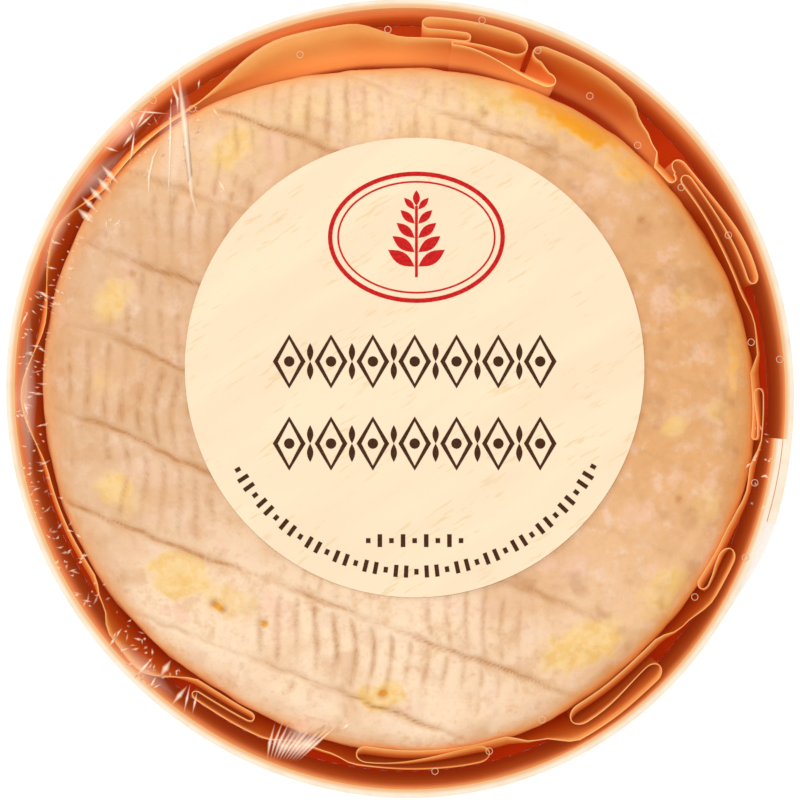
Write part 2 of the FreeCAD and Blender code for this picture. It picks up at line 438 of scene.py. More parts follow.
def build_paper():
    foot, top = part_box("paper_case")
    low = foot.z + paper_thickness / 2.0
    high = top.z - 0.0003
    stations = paper_stations()
    sheet = bmesh.new()
    ring = [sheet.verts.new(paper_place(angle, share, 0.0, low, high))
            for angle, share in stations]
    edges = [sheet.edges.new((ring[place - 1], ring[place])) for place in range(len(ring))]
    floor = bmesh.ops.contextual_create(sheet, geom=edges)["faces"]
    for step in range(1, paper_rings + 1):
        raised = bmesh.ops.extrude_edge_only(sheet, edges=edges)["geom"]
        edges = [part for part in raised if isinstance(part, bmesh.types.BMEdge)]
        corners = [part for part in raised if isinstance(part, bmesh.types.BMVert)]
        found = {tuple(round(value, 7) for value in corner.co): corner for corner in corners}
        rise = step / paper_rings
        below = (step - 1) / paper_rings
        for angle, share in stations:
            before = paper_place(angle, share, below, low, high)
            corner = found[tuple(round(value, 7) for value in before)]
            corner.co = paper_place(angle, share, rise, low, high)
    return sheet


def cheese_reach(tree, place):
    """How far out a place lies from the middle of the cheese, 1 being its side."""
    low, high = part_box("cheese")
    half = (high - low) / 2.0
    middle = (high + low) / 2.0
    share = node(tree, "VectorMath", {0: place, 1: (1.0 / half.x, 1.0 / half.y, 0.0)},
                 operation="MULTIPLY").outputs["Vector"]
    return node(tree, "VectorMath", {0: share, 1: (middle.x / half.x, middle.y / half.y, 0.0)},
                operation="DISTANCE").outputs["Value"]


def greaseproof():
    """Waxed paper: light at its edge, painted deeper orange further down as painted shade, and
    given painted light and glow.
    """
    material, tree, shader, place = finish("greaseproof", 0.42, Specular_IOR_Level=0.0)
    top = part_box("paper_case")[1].z
    split = parts(tree, place)
    height = split["Z"]
    level = maths(tree, "MULTIPLY_ADD", cloud(tree, place, 120.0), shade_unevenness, height)
    colour = tone(240, 168, 96)
    # Painted shade: darker and deeper orange further down.
    for shade_tone, full, start in paper_shades:
        colour = mixed(tree, between(tree, level, top - full, top - start), shade_tone, colour)
    beside_cheese = between(tree, cheese_reach(tree, place), 1.02, 1.085, 1.0, 0.0)
    brim = between(tree, split["Y"], 0.024, 0.040)
    lit = maths(tree, "MULTIPLY", beside_cheese, between(tree, level, top - 0.022, top - 0.010))
    lit = maths(tree, "MULTIPLY", lit, brim)
    colour = mixed(tree, lit, colour, tone(246, 188, 112))
    # Painted light: the paper glows, more where it is painted lit, though it is no lamp.
    feed(tree, shader, "Emission Strength",
         maths(tree, "MULTIPLY_ADD", lit, 1.4 * painted_glow, 0.8 * painted_glow))
    edge = between(tree, height, top - 0.0006, top - 0.0003)
    feed(tree, shader, "Emission Color", colour)
    colour = laid(tree, colour, edge, 0.5, tone(250, 194, 134))
    feed(tree, shader, "Base Color", colour)
    crinkle = cloud(tree, place, 420.0, 3.0, 0.6, (1.0, 1.0, 0.35))
    bump(tree, shader, crinkle, 0.0002, 0.35)
    return material


paper = new_piece("paper_folds", build_paper(), greaseproof())
shell = paper.modifiers.new("thickness", "SOLIDIFY")
shell.thickness = paper_thickness
shell.offset = 0.0
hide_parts("paper_case")


# ---- Cheese ----
# A soft, washed and bloomy-rinded cheese, a little out of round, with a domed shoulder.
# It drained on a mat, whose cords and stitches left grooves and low ribs in its top.

mm = 0.001
cheese_low, cheese_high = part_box("cheese")
cheese_turns = 720
under_label = 0.022         # reach up to which the top stays smooth, as the label hides it
top_round = 0.0045
bottom_round = 0.0035
side_bulge = 0.0005
mat_angle = -21.0
mat_marks = (-0.0415, -0.0305, -0.0190, -0.0070, 0.0049, 0.0168, 0.0289, 0.0398)
groove_depth = 0.0006
groove_half = 0.0004
rib_pitch = 0.0027
rib_depth = 0.0004
pit_depth = 0.0006

# Places on the top in mm: middle, half length, half width, and then turn and strength
ribbed_places = [
    (-9.0, -34.5, 12.5, 8.5, -15.0, 1.0), (10.0, -34.5, 11.0, 8.0, 10.0, 0.7),
    (-37.0, 1.0, 11.0, 13.0, 0.0, 0.85), (-32.5, -14.5, 8.0, 7.0, -20.0, 0.7),
    (-29.0, 23.0, 11.0, 8.5, 40.0, 0.75), (-13.0, 40.0, 13.0, 7.0, 10.0, 0.8),
    (6.0, 38.5, 11.0, 6.0, -10.0, 0.5), (33.0, 11.0, 8.0, 10.0, 0.0, 0.25),
]
ripe_patches = [
    (-31.0, -25.0, 5.2, 3.6, -12.0, 1.0), (-24.0, -28.5, 6.0, 3.0, -18.0, 0.55),
    (-40.5, 14.0, 4.2, 2.8, 60.0, 0.7), (-41.5, 2.0, 3.0, 3.0, 0.0, 0.4),
    (-40.0, -12.5, 3.6, 2.6, -30.0, 0.8), (-37.5, -15.0, 3.0, 2.2, 50.0, 0.4),
    (-23.5, 35.0, 5.2, 2.8, 40.0, 0.7), (-15.0, 40.5, 5.0, 2.8, 10.0, 0.4),
    (-2.5, -41.8, 4.5, 2.2, 8.0, 1.0), (14.0, 42.0, 9.0, 3.4, -12.0, 0.6),
    (26.0, -34.5, 8.0, 3.6, 22.0, 0.85), (37.0, -27.0, 5.5, 3.4, 50.0, 0.6),
    (38.5, -4.0, 2.4, 1.8, 20.0, 0.6), (39.5, 14.5, 1.8, 2.2, 0.0, 0.5),
    (44.5, -1.5, 2.0, 1.8, 0.0, 0.5), (43.0, -15.0, 3.5, 2.5, 60.0, 0.4),
]
amber_patches = [
    (25.5, 38.8, 10.0, 3.4, -24.0, 1.0), (19.0, 42.5, 6.2, 2.6, -18.0, 0.8),
    (32.0, 32.5, 6.0, 2.6, -40.0, 0.55), (47.0, 6.0, 7.5, 1.6, 88.0, 0.5),
    (40.0, -31.0, 5.0, 2.2, 48.0, 0.35), (-25.5, -29.2, 1.2, 0.7, -30.0, 1.0),
    (-2.5, -41.4, 1.1, 0.7, 0.0, 1.0), (-19.0, -31.7, 0.8, 0.7, 60.0, 0.8),
]
# Pits, in mm: middle and half width
pits = [
    (-26.1, -28.8, 0.6), (-24.8, -29.7, 0.5), (-19.2, -31.5, 0.5), (-2.4, -41.5, 0.6),
    (-37.5, 17.5, 0.4), (39.2, -14.2, 0.4), (34.0, 25.0, 0.4), (12.0, 40.0, 0.4),
]


def cheese_outline():
    """Inset from the widest outline and height, from the bottom's middle to the top's."""
    tall = cheese_high.z - cheese_low.z
    outline = [(cheese_radius, 0.0), (cheese_radius * 0.5, 0.0)]
    for step in range(7):
        lean = math.radians(90.0 * step / 6)
        outline.append((bottom_round * (1.0 - math.sin(lean)) + side_bulge,
                        bottom_round * (1.0 - math.cos(lean))))
    side_low = bottom_round
    side_high = tall - top_round
    for step in range(1, 18):
        share = step / 18
        inset = side_bulge * (2.0 * share - 1.0) ** 2
        outline.append((inset, side_low + (side_high - side_low) * share))
    for step in range(25):
        lean = math.radians(90.0 * step / 24)
        outline.append((top_round * (1.0 - math.cos(lean)) + side_bulge,
                        tall - top_round * (1.0 - math.sin(lean))))
    inset = top_round + side_bulge
    while inset < cheese_radius - 0.026:
        inset += 0.00038
        outline.append((inset, tall))
    while inset < cheese_radius - 0.004:
        inset += 0.0028
        outline.append((inset, tall))
    outline.append((cheese_radius, tall))
    return outline


def patch_share(table, x, y, ragged, core, fade):
    """How strongly the nearest patches of a table cover a place, with ragged edges.

    A patch is full out to core and gone at core + fade, as shares of its half sizes."""
    rough = ragged * noise.fractal(Vector((x * 420.0, y * 420.0, 3.0)), 0.9, 2.0, 3)
    most = 0.0
    for middle_x, middle_y, half_length, half_width, turn, strength in table:
        cosine, sine = math.cos(math.radians(turn)), math.sin(math.radians(turn))
        right, back = x / mm - middle_x, y / mm - middle_y
        along = (right * cosine + back * sine) / half_length
        across = (back * cosine - right * sine) / half_width
        reach = math.hypot(along, across) + rough
        most = max(most, strength * (1.0 - ease((reach - core) / fade)))
    return most


def mat_relief(x, y):
    """Depth of the mat's cords and stitches at a place, and how marked it is, 0 to 1."""
    turn = math.radians(mat_angle)
    along = x * math.cos(turn) + y * math.sin(turn)
    across = -x * math.sin(turn) + y * math.cos(turn)
    drift = 0.0009 * uneven(along * 55.0, across * 30.0, 1.0)
    drift += 0.0005 * uneven(along * 380.0, across * 90.0, 2.0)
    wear = uneven(along * 75.0, across * 60.0, 5.0)
    worn_side = 1.0 - 0.8 * ease((x - 0.012) / 0.022)
    nearest = min(abs(across + drift - place) for place in mat_marks)
    strength = (0.25 + 0.75 * ease(0.55 + 1.4 * wear)) * worn_side
    width = groove_half * (1.0 + 0.8 * uneven(along * 140.0, across, 8.0))
    groove = math.exp(-(nearest / width) ** 2) * strength
    line = math.exp(-(nearest / (0.7 * width)) ** 2) * strength
    valley = 0.3 * math.exp(-(nearest / 0.0018) ** 2) * strength
    band = sum(1 for place in mat_marks if across > place)
    slip = 0.0011 * math.sin(band * 2.4)
    slip += 0.0012 * uneven(across * 110.0, along * 70.0, 9.0)
    lean = 0.35 * (across - mat_marks[min(band, len(mat_marks) - 1)])
    beat = abs(math.sin(math.pi * (along + slip + lean) / rib_pitch))
    ribbed = patch_share(ribbed_places, x, y, ragged=0.5, core=0.6, fade=0.6)
    broken = ease(0.75 + 1.5 * uneven(x * 130.0, y * 130.0, 12.0))
    rib = (1.0 - beat) ** 2.4 * ease((nearest - 0.0002) / 0.0014) * ribbed * (0.35 + 0.65 * broken)
    depth = groove_depth * (groove + valley) + rib_depth * rib
    return depth, max(line, 0.9 * rib)


def rind_height(x, y):
    """Rise of the rind at a place of the top, with how marked, how ripe and how amber it is."""
    depth, mark = mat_relief(x, y)
    ripe = patch_share(ripe_patches, x, y, ragged=0.3, core=0.35, fade=0.95)
    amber = patch_share(amber_patches, x, y, ragged=0.3, core=0.2, fade=1.1)
    lumpy_side = 0.35 + 0.65 * ease((x - 0.005) / 0.02)
    lumps = noise.fractal(Vector((x * 210.0, y * 210.0, 6.0)), 0.8, 2.0, 3)
    rise = 0.00022 * noise.fractal(Vector((x * 90.0, y * 90.0, 0.0)), 1.0, 2.0, 3)
    rise += 0.0002 * lumpy_side * lumps
    rise += 0.00007 * noise.fractal(Vector((x * 700.0, y * 700.0, 4.0)), 0.9, 2.0, 3)
    rise += 0.00025 * ripe * (0.6 + uneven(x * 500.0, y * 500.0, 2.0))
    rise -= depth * (1.0 - 0.4 * ripe)
    mark = max(mark, 0.45 * lumpy_side * ease(-1.6 * lumps - 0.25))
    for pit_x, pit_y, half in pits:
        reach = math.hypot(x / mm - pit_x, y / mm - pit_y) / half
        if reach < 3.0:
            hole = math.exp(-reach * reach)
            rise -= pit_depth * hole
            mark = max(mark, 0.8 * hole)
    return rise, mark, ripe, amber


def turned(outline, turns):
    """A closed body from an outline of reach and height, from middle to middle."""
    body = bmesh.new()
    corners = [body.verts.new((reach, 0.0, height)) for reach, height in outline]
    edges = [body.edges.new(pair) for pair in zip(corners, corners[1:])]
    bmesh.ops.spin(body, geom=corners + edges, axis=(0.0, 0.0, 1.0), angle=math.tau,
                   steps=turns, use_merge=True)
    bmesh.ops.remove_doubles(body, verts=body.verts, dist=1e-7)
    return body


def build_cheese():
    body = turned([(cheese_radius - inset, height) for inset, height in cheese_outline()],
                  cheese_turns)
    marked = body.verts.layers.float.new("marked")
    ripe = body.verts.layers.float.new("ripe")
    amber = body.verts.layers.float.new("amber")
    tall = cheese_high.z - cheese_low.z
    for corner in body.verts:
        reach, angle = reach_and_angle(corner.co)
        height = corner.co.z
        rim_share = min(reach / (cheese_radius - top_round - side_bulge), 1.0)
        spread = reach + waves(cheese_waves, angle) * rim_share
        if 0.0004 < height < tall - 0.0004:
            spread += 0.00025 * noise.fractal(corner.co * 160.0, 1.0, 2.0, 3)
        corner.co = polar(spread, angle, cheese_low.z + height)
        corner.co.x += cheese_middle[0]
        corner.co.y += cheese_middle[1]
        flat = ease((height - (tall - top_round * 0.8)) / (top_round * 0.6))
        if flat > 0.0 and spread > under_label:
            rise, mark, corner[ripe], corner[amber] = rind_height(corner.co.x, corner.co.y)
            corner.co.z += rise * flat
            corner[marked] = mark * flat
    return body


def attribute(tree, name):
    return node(tree, "Attribute", attribute_name=name).outputs["Fac"]


def rind():
    """Edible rind: pinkish cream bloom over tan, yellow where the paste has ripened through."""
    material, tree, shader, place = finish("rind", 0.5, Specular_IOR_Level=0.25)
    split = parts(tree, place)
    across, away = split["X"], split["Y"]
    wide = cloud(tree, place, 60.0, 3.0, 0.6)
    fine = cloud(tree, place, 260.0, 4.0, 0.62)
    speck = cloud(tree, place, 1200.0, 3.0, 0.6)
    lumps = cloud(tree, place, 150.0, 4.0, 0.7)
    to_right = between(tree, maths(tree, "MULTIPLY_ADD", wide, 0.03, across), -0.005, 0.06)
    to_front = between(tree, maths(tree, "MULTIPLY_ADD", wide, -0.02, away), -0.012, -0.045)
    to_back = between(tree, maths(tree, "MULTIPLY_ADD", wide, 0.02, away), 0.03, 0.055)
    colour = mixed(tree, to_right, tone(230, 185, 142), tone(232, 170, 106))
    paler = between(tree, across, 0.0, 0.035, 1.0, 0.4)
    colour = mixed(tree, maths(tree, "MULTIPLY", to_front, paler), colour, tone(255, 224, 188))
    colour = laid(tree, colour, to_back, 0.85, tone(255, 216, 166))
    for field, low, high, strength, patch in (
            (fine, 0.50, 0.68, 0.55, tone(250, 216, 188)),      # white bloom
            (wide, 0.54, 0.38, 0.40, tone(228, 172, 118)),      # tan
            (lumps, 0.54, 0.66, 0.60, tone(246, 198, 166)),     # rosy
            (lumps, 0.46, 0.34, 0.36, tone(214, 150, 96)),      # dingy
            (fine, 0.46, 0.32, 0.50, tone(226, 176, 122)),      # sallow
            (speck, 0.50, 0.75, 0.20, tone(214, 156, 104))):    # grains
        colour = laid(tree, colour, between(tree, field, low, high), strength, patch)
    ripe, amber, marked = (attribute(tree, name) for name in ("ripe", "amber", "marked"))
    broken = cloud(tree, place, 520.0, 4.0, 0.65)
    ripe = between(tree, maths(tree, "MULTIPLY_ADD", broken, 0.8, ripe), 0.5, 1.2)
    amber = between(tree, maths(tree, "MULTIPLY_ADD", broken, 0.8, amber), 0.4, 1.55)
    yellow = between(tree, broken, 0.4, 0.65)
    yellow = mixed(tree, yellow, tone(252, 214, 146), tone(244, 196, 108))
    colour = laid(tree, colour, ripe, 0.85, yellow)
    colour = mixed(tree, between(tree, amber, 0.0, 0.7), colour, tone(252, 198, 112))
    colour = mixed(tree, between(tree, amber, 0.25, 1.0), colour, tone(249, 164, 26))
    ragged = between(tree, cloud(tree, place, 700.0, 3.0, 0.6), 0.3, 0.6, 0.6, 1.0)
    colour = mixed(tree, maths(tree, "MULTIPLY", marked, ragged), colour, tone(190, 130, 72))
    normal = node(tree, "NewGeometry").outputs["Normal"]
    rise = parts(tree, normal)["Z"]
    # Painted light: the round shoulder, which falls into shade beside the paper, is painted lighter
    # and glows, though it is no lamp.
    shoulder = between(tree, rise, 0.95, 0.3)
    shoulder_light = mixed(tree, between(tree, across, -0.01, 0.04), tone(252, 204, 140), tone(250, 186, 96))
    colour = laid(tree, colour, shoulder, 0.9, shoulder_light)
    feed(tree, shader, "Emission Color", shoulder_light)
    feed(tree, shader, "Emission Strength", maths(tree, "MULTIPLY", shoulder, 0.6 * painted_glow))
    feed(tree, shader, "Base Color", colour)
    skin = maths(tree, "MULTIPLY_ADD", speck, 0.4, maths(tree, "MULTIPLY", fine, 0.6))
    bump(tree, shader, skin, 0.0003, 0.5)
    return material


cheese = new_piece("cheese_rind", build_cheese(), rind())
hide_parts("cheese")


# ---- Film ----
# Clear shrink film, drawn tight over the open box and its base. It is pricked all over so
# that the cheese can breathe, and it gathers in creases at the ends of its seal.

film_low, film_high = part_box("film")
film_gauge = 0.00005
film_turns = 360
film_edge = 0.0004          # its rounding over the rim and under the base
skirt_gap = 0.0001
lap_length = 12.5           # as an angle
film_drape = 16.0           # angle over which it eases down off the lap
film_sag = 0.00012


def film_reach(angle):
    """Radius of the film round the hoop, easing down off the lap's step."""
    wound = (lap_start - angle) % 360.0
    climb = strip_step * wound / 360.0
    over_lap = 1.0 - ease((wound - lap_length) / film_drape)
    face = hoop_radius + waves(hoop_waves, lap_start - wound) + climb + strip_thickness
    return face + strip_step * over_lap + skirt_gap


def build_film():
    radius = hoop_radius
    low = film_low.z + film_gauge
    high = film_high.z
    outline = [(0.0, low), (radius * 0.5, low), (radius - film_edge, low)]
    outline += [(radius, low + film_edge), (radius, (low + high) / 2.0), (radius, high - film_edge)]
    outline += [(radius - film_edge * 0.3, high - film_edge * 0.3), (radius - film_edge, high)]
    outline += [(radius * (1.0 - step / 26.0), high) for step in range(1, 27)]
    skin = turned(outline, film_turns)
    for corner in skin.verts:
        reach, angle = reach_and_angle(corner.co)
        height = corner.co.z
        corner.co = polar(reach * film_reach(angle) / radius, angle, height)
        if height > high - 1e-6 and 0.6 * radius < reach < radius - film_edge * 1.5:
            slack = ease((reach - 0.6 * radius) / (0.3 * radius)) * ease((radius - reach) / 0.002)
            corner.co.z -= film_sag * slack * (1.0 + noise.noise(corner.co * 260.0))
    return skin


def clear_film(name, straight_on, edge_on, tint, share=None, glint=0.0):
    """Thin clear plastic: how much of it shows looking straight through, and edge on.

    share names the attribute that fades it out, and glint is the strength of a painted glint, a
    glow though it is no lamp."""
    material, tree, shader, _ = finish(name, 0.12, Specular_IOR_Level=0.2, IOR=1.5, Base_Color=tint,
                                       Emission_Color=tint, Emission_Strength=glint)
    facing = node(tree, "LayerWeight", {"Blend": 0.5}).outputs["Facing"]
    alpha = between(tree, facing, 0.45, 1.0, straight_on, edge_on)
    if share:
        alpha = maths(tree, "MULTIPLY", alpha, attribute(tree, share))
    feed(tree, shader, "Alpha", alpha)
    return material


flat_film = clear_film("film_flat", 0.003, 0.3, tone(255, 206, 160))
film = new_piece("film_wrap", build_film(), flat_film)
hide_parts("film")


# Creases, gathers and pricked holes lie on the film's flat top. Points and widths are in mm.
# A crease's points and its half width
creases = [
    ([(-31.2, 46.6), (-30.2, 38.5), (-29.2, 28.5), (-28.1, 24.8)], 0.34),
    ([(-32.1, 42.3), (-32.2, 36.5), (-32.4, 30.0), (-32.2, 26.9)], 0.14),
    ([(-33.5, 35.9), (-34.6, 33.8), (-35.2, 31.0), (-35.2, 27.4)], 0.12),
    ([(-32.2, 44.4), (-31.2, 42.0), (-31.1, 39.7)], 0.16),
    ([(-37.5, 40.3), (-32.2, 39.9)], 0.10), ([(-37.2, 37.5), (-35.3, 41.1)], 0.16),
    ([(-37.2, 37.5), (-34.2, 40.3)], 0.12), ([(-37.2, 37.5), (-38.9, 35.1)], 0.16),
    ([(-37.2, 37.5), (-37.9, 39.4)], 0.12),
    ([(-37.2, 37.5), (-37.5, 35.0), (-37.9, 32.7)], 0.12),
    ([(-41.6, 35.3), (-39.4, 34.6)], 0.14), ([(-25.6, 30.8), (-24.3, 28.7)], 0.16),
    ([(-53.2, 9.9), (-52.0, 12.5)], 0.10), ([(-52.9, 0.0), (-52.0, -2.6)], 0.10),
    ([(-37.2, -39.2), (-34.5, -36.1)], 0.16), ([(-35.1, -40.6), (-34.1, -38.8)], 0.12),
    ([(-33.6, -39.0), (-32.1, -36.6)], 0.34), ([(-32.0, -43.0), (-29.8, -40.2)], 0.26),
    ([(-30.3, -44.2), (-29.4, -39.9)], 0.14), ([(-29.1, -44.3), (-28.4, -40.9)], 0.14),
    ([(-8.1, -46.4), (-7.0, -45.4)], 0.20),
    ([(50.5, -11.0), (51.2, -10.8), (51.8, -11.3)], 0.14),
]
crease_spread = 1.7         # its half width with the faded sides
crease_steepness = 0.25     # height of a crease over its half width
crease_height = 0.15        # and at most
# Where the film is a little milky and shows a painted sheen: the path of the middle, half width and
# strength
veils = [
    ([(-30.5, 44.0), (-31.0, 38.0), (-31.5, 32.0), (-32.0, 27.0)], 3.2, 0.30),
    ([(-42.0, 34.0), (-39.0, 38.0), (-34.0, 41.5)], 2.4, 0.34),
    ([(-46.5, 27.0), (-43.0, 31.0), (-38.5, 35.0)], 2.0, 0.24),
    ([(-52.0, 12.0), (-52.6, 0.0), (-51.6, -12.0)], 1.8, 0.34),
    ([(-50.6, 16.0), (-48.2, 24.0), (-44.5, 30.0)], 1.6, 0.22),
    ([(-41.0, -33.0), (-36.5, -38.0), (-31.0, -42.0)], 2.2, 0.26),
    ([(-17.0, -50.0), (-14.0, -47.0), (-10.5, -45.2)], 2.6, 0.36),
]
gather_foot = ((-18.6, -50.6), (-14.4, -50.9))      # where the pleats of the seal's end start
gather_tip = ((-17.3, -44.4), (-8.6, -45.6))        # and where they run out
gather_count = 11
corner_strips = (142.0, 149.5, 5)                   # angles and number of the pulls at a corner
# Crumpled stretches: first and last angle, nearest and farthest reach, count, and how far a
# crumple may turn off the way to the middle
crumpled = [
    (152.0, 199.0, 49.0, 53.4, 120, 25.0),
    (118.0, 150.0, 44.5, 52.5, 36, 90.0),
    (199.0, 232.0, 48.5, 53.2, 75, 60.0),
    (-18.0, -4.0, 49.0, 53.0, 14, 90.0),
]
hole_outer = 0.52           # radius over the rolled edge
hole_wire = 0.06            # and radius of that edge itself
holes = [
    (-14.0, 48.2), (-1.7, 51.7), (11.5, 53.0), (19.3, 48.8), (26.6, 42.4), (33.3, 35.5),
    (39.4, 29.6), (46.0, 22.9), (53.2, 5.5), (49.2, 7.9), (49.7, -11.8), (48.4, -22.3),
    (41.3, -27.8), (19.9, -45.0), (12.5, -49.4), (4.9, -52.2), (-34.6, 41.8), (-29.1, 40.6),
    (-41.0, 30.3),
]


def add_crease(skin, path, half_width, strength=1.0):
    """A pinched ridge along a path in mm, which fades out to its sides and both ends."""
    shown = skin.verts.layers.float.get("shown") or skin.verts.layers.float.new("shown")
    path = [Vector(point) for point in path]
    length = sum((after - before).length for before, after in zip(path, path[1:]))
    rows = []
    gone = 0.0
    for place, point in enumerate(path):
        before, after = path[max(place - 1, 0)], path[min(place + 1, len(path) - 1)]
        gone += (point - before).length
        heading = (after - before).normalized()
        swell = 0.15 + 0.85 * math.sin(math.pi * min(max(gone / length, 0.0), 1.0))
        side = Vector((-heading.y, heading.x)) * half_width * swell
        lift = (0.0, min(crease_steepness * half_width, crease_height) * swell, 0.0)
        row = [skin.verts.new((*(point + side * across) * mm, film_high.z + up * mm))
               for across, up in zip((1.0, 0.0, -1.0), lift)]
        row[1][shown] = strength * min(1.0, 1.4 * swell - 0.2)
        rows.append(row)
    for row, following in zip(rows, rows[1:]):
        for first in range(3):
            second = (first + 1) % 3
            skin.faces.new((row[first], row[second], following[second], following[first]))
    skin.faces.new(rows[0][::-1])
    skin.faces.new(rows[-1])


def between_points(first, second, share):
    return tuple(one + (two - one) * share for one, two in zip(first, second))


def build_creases():
    skin = bmesh.new()
    chance = random.Random(7)
    for path, half_width in creases:
        middle = between_points(path[0], path[1], 0.5)
        add_crease(skin, [path[0], middle, *path[1:]], crease_spread * half_width)
    for path, half_width, strength in veils:
        add_crease(skin, path, half_width, strength)
    for step in range(gather_count):
        share = step / (gather_count - 1)
        foot = between_points(*gather_foot, share)
        tip = between_points(*gather_tip, share ** 0.9)
        tip = between_points(foot, tip, 0.75 + 0.3 * chance.random())
        middle = between_points(foot, tip, 0.45)
        add_crease(skin, [foot, (middle[0] - 0.15, middle[1]), tip], 0.28 + 0.3 * chance.random())
    first, last, count = corner_strips
    for step in range(count):
        angle = first + (last - first) * step / (count - 1)
        start = polar(52.6 + 0.8 * chance.random(), angle)
        end = polar(49.0 + 1.6 * chance.random(), angle + 0.65)
        middle = between_points(start, end, 0.5)
        add_crease(skin, [start.xy, middle[:2], end.xy], 0.5 + 0.2 * chance.random())
    for first, last, near, far, count, spread in crumpled:
        for _ in range(count):
            angle = first + (last - first) * chance.random()
            start = polar(near + (far - near) * chance.random(), angle)
            heading = angle + spread * chance.uniform(-1.0, 1.0)
            end = start + polar(0.5 + 1.6 * chance.random() ** 2, heading)
            if end.length > far + 0.6:
                end *= (far + 0.6) / end.length
            middle = between_points(start, end, 0.5)
            bend = 0.3 * (chance.random() - 0.5)
            add_crease(skin, [start.xy, (middle[0] + bend, middle[1] - bend), end.xy],
                       0.12 + 0.16 * chance.random(), 0.3 + 0.6 * chance.random())
    return skin


def build_holes():
    """The rolled edge round each pricked hole."""
    skin = bmesh.new()
    for place_x, place_y in holes:
        around = Vector((hole_outer - hole_wire, 0.0, 0.0)) * mm
        upright = Matrix.Rotation(math.radians(90.0), 4, "X")
        wire = bmesh.ops.create_circle(skin, segments=6, radius=hole_wire * mm,
                                       matrix=Matrix.Translation(around) @ upright)["verts"]
        loop = list({edge for corner in wire for edge in corner.link_edges})
        middle = Vector((place_x, place_y, 0.0)) * mm
        middle.z = film_high.z + 0.7 * hole_wire * mm
        bmesh.ops.translate(skin, verts=wire, vec=middle)
        bmesh.ops.spin(skin, geom=wire + loop, cent=middle, axis=(0.0, 0.0, 1.0),
                       angle=math.tau, steps=18, use_merge=True)
    bmesh.ops.remove_doubles(skin, verts=skin.verts, dist=1e-7)
    return skin


# Painted glints and sheen: the creases, veils and crumples glow over their milky white, though they
# are no lamps.
pinched = clear_film("film_gathered", 0.8, 0.9, tone(255, 228, 200), "shown", 0.45)
gathered = new_piece("film_creases", build_creases(), pinched, False)
rolled = clear_film("film_rolled", 0.5, 0.8, tone(255, 214, 180))
pricked = new_piece("film_holes", build_holes(), rolled)


# ---- Label ----
# A round paper label stuck on the film, cream with a faint wood print and a plain printed
# ornament in red and dark brown. Sizes and places of the print are in mm.

label_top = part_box("label")[1].z
label_middle = (2.05, 4.34)
ink_height = 0.03
emblem_middle = (2.3, 22.6)
emblem_half = (12.4, 9.2)
row_half = 20.5
row_heights = (5.2, -6.3)
row_size = 7.6
row_pitch = 5.86
small_row = (-19.9, 6.5, 9)     # its height, half its length and its number of marks
arc_reach = 28.6
arc_angles = (210.0, 331.0)
arc_marks = 43


def label_paper():
    material, tree, shader, place = finish("label_paper", 0.55)
    slanted = node(tree, "Mapping", {"Vector": place, "Rotation": (0.0, 0.0, math.radians(-33.0))})
    slanted = slanted.outputs[0]
    streak = between(tree, cloud(tree, slanted, 900.0, 2.0, 0.5, (0.35, 2.6, 1.0)), 0.58, 0.66)
    patch = between(tree, cloud(tree, slanted, 150.0, 2.0, 0.5), 0.42, 0.6)
    shade = between(tree, cloud(tree, slanted, 120.0, 2.0, 0.5, (0.3, 1.5, 1.0)), 0.35, 0.7)
    colour = mixed(tree, shade, tone(252, 224, 187), tone(254, 230, 193))
    colour = laid(tree, colour, maths(tree, "MULTIPLY", streak, patch), 0.55, tone(238, 202, 146))
    feed(tree, shader, "Base Color", colour)
    bump(tree, shader, cloud(tree, place, 1500.0, 2.0), 0.00003, 0.4)
    return material


def ink(name, colour):
    material, tree, shader, place = finish(name, 0.6, Specular_IOR_Level=0.08)
    worn = between(tree, cloud(tree, place, 2400.0, 2.0), 0.35, 0.65)
    paler = tuple(1.35 * share + 0.004 for share in colour[:3]) + (1.0,)
    feed(tree, shader, "Base Color", mixed(tree, worn, colour, paler))
    return material


def printed(mesh, outline, middle=(0.0, 0.0), turn=0.0):
    """One flat printed shape from its outline in mm, anticlockwise, turned and set at middle."""
    cosine, sine = math.cos(math.radians(turn)), math.sin(math.radians(turn))
    level = label_top + 0.01 * mm
    mesh.faces.new([mesh.verts.new(((middle[0] + x * cosine - y * sine) * mm,
                                    (middle[1] + x * sine + y * cosine) * mm, level))
                    for x, y in outline])


def bar(half, tall):
    """Outline of an upright bar round (0, 0)."""
    return [(-half, -tall), (half, -tall), (half, tall), (-half, tall)]


def leaf(length, half_width, points=7):
    """A pointed leaf from (0, 0) along X."""
    steps = [step / points for step in range(points + 1)]
    lower = [(length * share, -half_width * math.sin(math.pi * share)) for share in steps]
    upper = [(length * share, half_width * math.sin(math.pi * share)) for share in steps[1:-1]]
    return lower + upper[::-1]


def printed_ring(mesh, middle, half, width, sides=72):
    """An oval or, with four sides, a lozenge outline of even width."""
    for step in range(sides):
        corners = []
        for place, inset in ((step, 0.0), (step + 1, 0.0), (step + 1, width), (step, width)):
            turn = math.tau * place / sides
            corners.append((middle[0] + (half[0] - inset) * math.cos(turn),
                            middle[1] + (half[1] - inset) * math.sin(turn)))
        printed(mesh, corners)


def print_piece(name, mesh, material):
    """Weld the printed shapes and give the ink its thickness."""
    bmesh.ops.remove_doubles(mesh, verts=mesh.verts, dist=1e-7)
    grown = bmesh.ops.extrude_face_region(mesh, geom=mesh.faces[:], use_keep_orig=True)["geom"]
    raised = [part for part in grown if isinstance(part, bmesh.types.BMVert)]
    bmesh.ops.translate(mesh, verts=raised, vec=(0.0, 0.0, ink_height * mm))
    new_piece(name, mesh, material, False)


